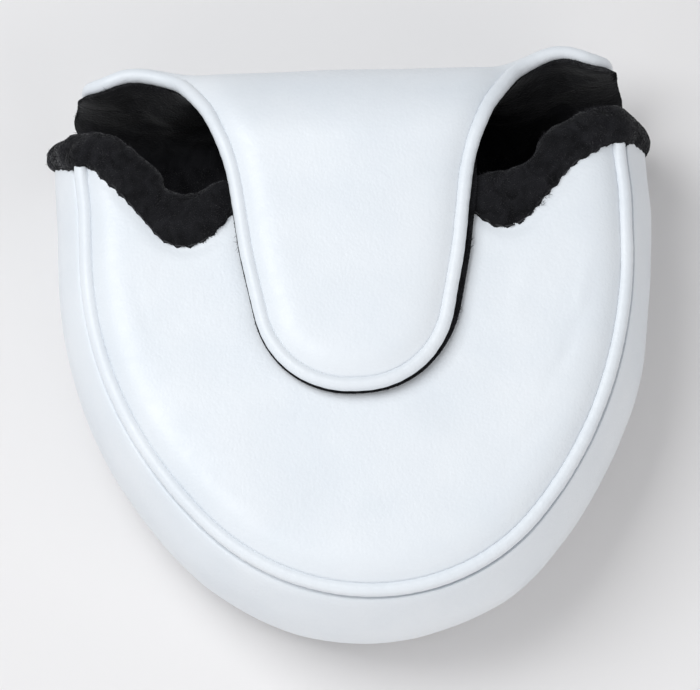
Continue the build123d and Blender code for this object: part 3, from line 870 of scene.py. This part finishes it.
def make_piping():
    """The three runs of piping, each a leather cover round a filler cord."""
    front = u_line(0, MOUTH_Y + UNDER_RIM, PIPING_STEP)
    front = np.column_stack([front, np.full(len(front), FRONT_SEAM)])
    back = strip(resample(back_flat, PIPING_STEP), BACK_SEAM)
    flap = strip(resample(wing_flat, PIPING_STEP), SEAM_DEPTH)
    runs = [
        ("front", front, ["front_piping_{}"], None),
        ("back", back, ["back_piping_{}"], BACK_BLEND),
        ("flap", flap, ["fold_piping_{}_left", "fold_piping_{}_right", "flap_piping_{}"], FLAP_BLEND),
    ]
    kinds = [
        ("piping", "cover", PIPING_RADIUS, LEATHER, "white_leather", 20, 0.05),
        ("cord", "cord", CORD_RADIUS, CORD_STUFF, "white_cord", 10, 0.0),
    ]
    for kind, part, radius, material, slot, sides, pucker in kinds:
        for run, path, nodes, blending in runs:
            piece = tube(run + "_" + kind + "_shape", path, radius, material, sides, pucker)
            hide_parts(*[node.format(part) for node in nodes])
            if blending:
                blend_at(piece, *blending)
            else:
                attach(piece, "shell")


# ---------------------------------------------------------------- plush rim at the mouth

def edge_path():
    """Where the rolled plush ends: up the left gusset, along the front panel, down the right."""
    heights = np.linspace(FRONT_SEAM - 2.5, 7, 10)
    round_piping = [(-1.6, 2.3), (0.4, 2.4), (1.7, 1.5), (2.2, 0.0), (2.0, -1.6)]
    ends = {}
    for side in (-1, 1):
        y = end_y(side, FRONT_SEAM)
        ends[side] = [(side * (HALF_WIDTH + out), y, FRONT_SEAM + up) for out, up in round_piping]
        ends[side] += [(side * (HALF_WIDTH + 0.4 + float(gusset_offset(z))), end_y(side, z), z)
                       for z in heights[1:]]
    near = plush_edge[np.abs(plush_edge[:, 0]) < HALF_WIDTH - 4]
    front = np.column_stack([near, front_surface(near, 0, 0)[:, 2]])
    path = resample(np.vstack([ends[-1][::-1], front, ends[1]]), 0.8)
    for _ in range(3):
        path[1:-1] = (path[:-2] + 2 * path[1:-1] + path[2:]) / 4
    return path


def unit(vectors):
    """The same vectors, each of length 1."""
    return vectors / np.maximum(np.linalg.norm(vectors, axis=1), 1e-9)[:, None]


def smoothed(values, rounds):
    """Rows of values, each drawn towards its neighbours this many times."""
    values = values.copy()
    for _ in range(rounds):
        values[1:-1] = (values[:-2] + 2 * values[1:-1] + values[2:]) / 4
    return values


RIM_BREADTH = 9.2               # across the roll, from its edge on the leather to its inner edge
RIM_FILL = 4.0                  # how much broader the roll is at the dips, where it fills them
RIM_HEIGHT = 8.4
RIM_SINK = 2.2                  # how far the roll's middle lies below the leather's surface
RIM_TUCK = 4.2                  # how much narrower it is down the gusset's ends
RIM_SIDES = 56                  # points round it
SQUARED = 0.9                   # below 1, its section is a little squarer than an ellipse


def make_rim():
    """The lining's edge, rolled out over the mouth of the front panel and the gusset's ends."""
    outer = edge_path()
    along = unit(np.gradient(outer, axis=0))
    up = unit(smoothed(unit(np.cross(along, (0, 1.0, 0))), 4))
    inwards = np.cross(up, along)
    side = np.abs(outer[:, 0])
    down_side = smooth((40 - outer[:, 2]) / 9) * smooth((side - 55) / 6)
    at_end = smooth((side - 44) / 8)
    straight_in = unit(inwards * at_end[:, None] + (1 - at_end)[:, None] * np.array([0, 1.0, 0]))
    breadth = RIM_BREADTH + 1.6 * smooth((side - 46) / 6) - 3.2 * smooth((32 - side) / 8)
    breadth = breadth + RIM_FILL * smooth((side - 24) / 8) * (1 - at_end) - RIM_TUCK * down_side
    inner = outer + straight_in * breadth[:, None]
    inner = smoothed(inner, 60)
    middle = (outer + inner) / 2
    across = (outer - inner) / 2
    tall = RIM_HEIGHT / 2 + 0.35 * wave_noise(outer, 30, 60)
    tall = tall - 1.0 * smooth((30 - side) / 8) - 0.5 * down_side
    lengths = np.concatenate([[0], np.cumsum(np.linalg.norm(np.diff(outer, axis=0), axis=1))])
    angles = np.linspace(0, 2 * pi, RIM_SIDES, endpoint=False)
    c, s = np.cos(angles), np.sin(angles)
    c = np.sign(c) * np.abs(c) ** SQUARED
    s = np.sign(s) * np.abs(s) ** SQUARED
    scallop = 0.22 * np.cos(2 * pi * lengths / STITCH)[:, None] * np.maximum(c, 0)[None] ** 3
    rings = (middle[:, None, :]
             + (c[None] + scallop / 4)[..., None] * across[:, None, :]
             + (tall[:, None] * s[None] - RIM_SINK)[..., None] * up[:, None, :])
    points = rings.reshape(-1, 3)
    out = unit(points - np.repeat(middle - up * RIM_SINK, RIM_SIDES, axis=0))
    lumps = 0.38 * wave_noise(points, 10, 61) + 0.2 * wave_noise(points, 3.4, 62)
    lumps = lumps * np.tile(1 - 0.75 * np.maximum(c, 0) ** 2, len(outer))
    points = points + out * lumps[:, None]
    ceiling = FLAP_TOP - PLUSH[1] - 0.3 + 30 * smooth((np.abs(points[:, 0]) - 25) / 60)
    points[:, 2] = np.minimum(points[:, 2], ceiling)
    faces = lofted(len(outer), RIM_SIDES)
    piece = mesh_piece("mouth_rim_shape", points, faces, PLUSH_CLOTH)
    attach(piece, "shell")
    return piece


THREAD_RADIUS = 0.2
THREAD_STEP = 0.4               # distance between the rings of a stitch


def make_thread():
    """Stitches that hold the rolled plush down on the leather, deep along its edge."""
    line = rounded(PLUSH_EDGE, PLUSH_EDGE_RADII, THREAD_STEP)
    line = line[np.abs(line[:, 0]) < HALF_WIDTH - 6]
    line = line - sideways(line) * 0.7
    height = front_surface(line, 0, 0)[:, 2]
    pieces, faces = [], []
    per_stitch = int(STITCH / THREAD_STEP)
    for start in range(0, len(line) - per_stitch, per_stitch):
        run = slice(start, start + per_stitch - 1)
        sag = np.sin(np.linspace(0, pi, per_stitch - 1)) * 0.25
        path = np.column_stack([line[run], height[run] - 0.12 + sag])
        across, up = frames(path)
        angles = np.linspace(0, 2 * pi, 8, endpoint=False)
        ring = path[:, None, :] + THREAD_RADIUS * (np.cos(angles)[None, :, None] * across[:, None, :]
                                                   + np.sin(angles)[None, :, None] * up[:, None, :])
        base = len(pieces) * 8 * (per_stitch - 1)
        pieces.append(ring.reshape(-1, 3))
        faces += [tuple(v + base for v in f) for f in lofted(per_stitch - 1, 8)]
    piece = mesh_piece("mouth_thread_shape", np.vstack(pieces), faces, THREAD)
    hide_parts("mouth_thread")
    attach(piece, "shell")


# ---------------------------------------------------------------- pile

FIBRE_WIDTH = 0.15
FIBRE_LEAN = 0.6                # how far the fibres lean, combed and stray
STRAY = 0.55                    # how much of that lean differs from fibre to fibre
ROOTED = 0.12                   # how deep they start below the surface


def pile(name, piece, count, length, chosen=None, seed=1):
    """Short fibres that stand on a piece's surface, each a slender closed spike."""
    draws = np.random.default_rng(seed)
    mesh = piece.data
    mesh.calc_loop_triangles()
    points = np.array([v.co for v in mesh.vertices]) / MM
    normals = np.array([v.normal for v in mesh.vertices])
    triangles = np.array([t.vertices for t in mesh.loop_triangles])
    if chosen is not None:
        middle = points[triangles].mean(1)
        facing = normals[triangles].mean(1)
        triangles = triangles[chosen(middle, facing)]
    corners = points[triangles]
    cross = np.cross(corners[:, 1] - corners[:, 0], corners[:, 2] - corners[:, 0])
    areas = np.linalg.norm(cross, axis=1) / 2
    picked = draws.choice(len(triangles), count, p=areas / areas.sum())
    u, v = draws.random(count), draws.random(count)
    over = u + v > 1
    u[over], v[over] = 1 - u[over], 1 - v[over]
    weights = np.column_stack([1 - u - v, u, v])
    root = (corners[picked] * weights[..., None]).sum(1)
    normal = (normals[triangles[picked]] * weights[..., None]).sum(1)
    normal /= np.linalg.norm(normal, axis=1)[:, None]
    comb = np.column_stack([wave_noise(root, 11, seed + k) for k in (100, 200, 300)])
    stray = draws.normal(size=(count, 3)) * STRAY
    way = normal + FIBRE_LEAN * (comb + stray)
    way /= np.linalg.norm(way, axis=1)[:, None]
    side = np.cross(way, draws.normal(size=(count, 3)))
    side /= np.linalg.norm(side, axis=1)[:, None]
    other = np.cross(way, side)
    long = length * draws.uniform(0.55, 1.25, count)
    base = root - normal * ROOTED
    half = FIBRE_WIDTH / 2
    fibre = np.stack([
        base + side * half,
        base - side * half * 0.5 + other * half * 0.87,
        base - side * half * 0.5 - other * half * 0.87,
        base + way * long[:, None],
    ], axis=1).reshape(-1, 3)
    first = np.arange(count)[:, None] * 4
    faces = np.concatenate([first + np.array(f) for f in
                            [(0, 1, 3), (1, 2, 3), (2, 0, 3), (0, 2, 1)]])
    return mesh_piece(name, fibre, faces, PILE)


def make_pile(rim, back_lining, flap_lining):
    """Fibres on the rim, the wings and the flap's underside, where the plush can be seen."""
    rim_pile = pile("mouth_rim_pile", rim, 46000, 1.5, seed=3)
    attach(rim_pile, "shell")

    def on_wings(middle, facing):
        return (np.abs(middle[:, 0]) > 24) & (middle[:, 1] > 22) & (facing[:, 1] < 0.3)

    wing_pile = pile("wing_pile", flap_lining, 46000, 1.25, on_wings, seed=4)
    blend_at(wing_pile, *FLAP_BLEND)

    def under_flap(middle, facing):
        return ((np.abs(middle[:, 0]) < 25) | (middle[:, 1] < 23)) & (facing[:, 2] < 0.4)

    flap_pile = pile("flap_pile", flap_lining, 36000, 1.25, under_flap, seed=5)
    blend_at(flap_pile, *FLAP_BLEND)

    def in_mouth(middle, facing):
        return (facing[:, 1] < 0.3) & (middle[:, 1] > 26) & (np.abs(middle[:, 0]) > 16)

    mouth_pile = pile("mouth_back_pile", back_lining, 36000, 1.25, in_mouth, seed=6)
    blend_at(mouth_pile, *BACK_BLEND)


# ---------------------------------------------------------------- stage

def add_floor():
    """A plain pale floor, half a millimetre below the model."""
    mesh = bpy.data.meshes.new("floor")
    half = 3.0
    mesh.from_pydata([(-half, -half, 0), (half, -half, 0), (half, half, 0), (-half, half, 0)], [],
                     [(0, 1, 2, 3)])
    floor = bpy.data.objects.new("floor", mesh)
    bpy.context.scene.collection.objects.link(floor)
    material, nodes, links, shader, place = node_material("floor", (0.82, 0.80, 0.79), 0.9)
    mesh.materials.append(material)
    floor.location.z = -0.0005


def add_light(name, place, size, power, colour):
    """A square soft light that faces the middle of the object."""
    data = bpy.data.lights.new(name, "AREA")
    data.size = size
    data.energy = power
    data.color = colour
    light = bpy.data.objects.new(name, data)
    bpy.context.scene.collection.objects.link(light)
    light.location = place
    light.rotation_euler = (Vector((0, -0.02, 0.03)) - Vector(place)).to_track_quat("-Z", "Y").to_euler()


def add_camera():
    """Nearly overhead, from the curved end, with the slight roll of a hand-held picture."""
    elevation = radians(73.0)
    roll = radians(-1.7)
    distance = 2.2
    seen_width = 0.1623
    target = Vector((-0.0012, -0.0216, 0.035))
    back = Vector((0, -cos(elevation), sin(elevation)))
    data = bpy.data.cameras.new("camera")
    data.sensor_width = 36.0
    data.lens = data.sensor_width * distance / seen_width
    data.clip_start = 0.01
    camera = bpy.data.objects.new("camera", data)
    bpy.context.scene.collection.objects.link(camera)
    facing = (-back).to_track_quat("-Z", "Y").to_matrix().to_4x4()
    turned = facing @ Matrix.Rotation(roll, 4, "Z")
    camera.matrix_world = Matrix.Translation(target + back * distance) @ turned
    bpy.context.scene.camera = camera


def add_world():
    """Even pale light from all round."""
    world = bpy.data.worlds.new("world")
    world.use_nodes = True
    world.node_tree.nodes["Background"].inputs["Color"].default_value = (0.93, 0.96, 1.0, 1)
    world.node_tree.nodes["Background"].inputs["Strength"].default_value = 0.42
    bpy.context.scene.world = world


# ---------------------------------------------------------------- making

add_camera()
add_world()
add_floor()
add_light("key", (-0.42, 0.16, 0.88), 0.60, 6.0, (0.95, 0.975, 1.0))
add_light("fill", (0.52, -0.66, 0.50), 0.85, 2.5, (1.0, 0.975, 0.96))
add_light("low", (-0.50, -0.80, 0.24), 0.80, 1.7, (0.97, 0.98, 1.0))
bpy.context.scene.view_settings.view_transform = "Standard"

make_front_panel()
make_front_lining()
make_gusset()
make_strip("back", strip_outline_back(TUCK), strip_edge_back, BACK_BLEND)
make_strip("flap", strip_outline_front(TUCK), wing_flat, FLAP_BLEND)
make_piping()
rim_piece = make_rim()
make_thread()
make_pile(rim_piece, bpy.data.objects["back_lining_shape"], bpy.data.objects["flap_lining_shape"])

for node in ("body_magnet", "flap_magnet"):
    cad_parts[node].material_slots[0].material = STEEL
for node in ("body_magnet_pouch", "flap_magnet_pouch"):
    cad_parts[node].material_slots[0].material = POUCH
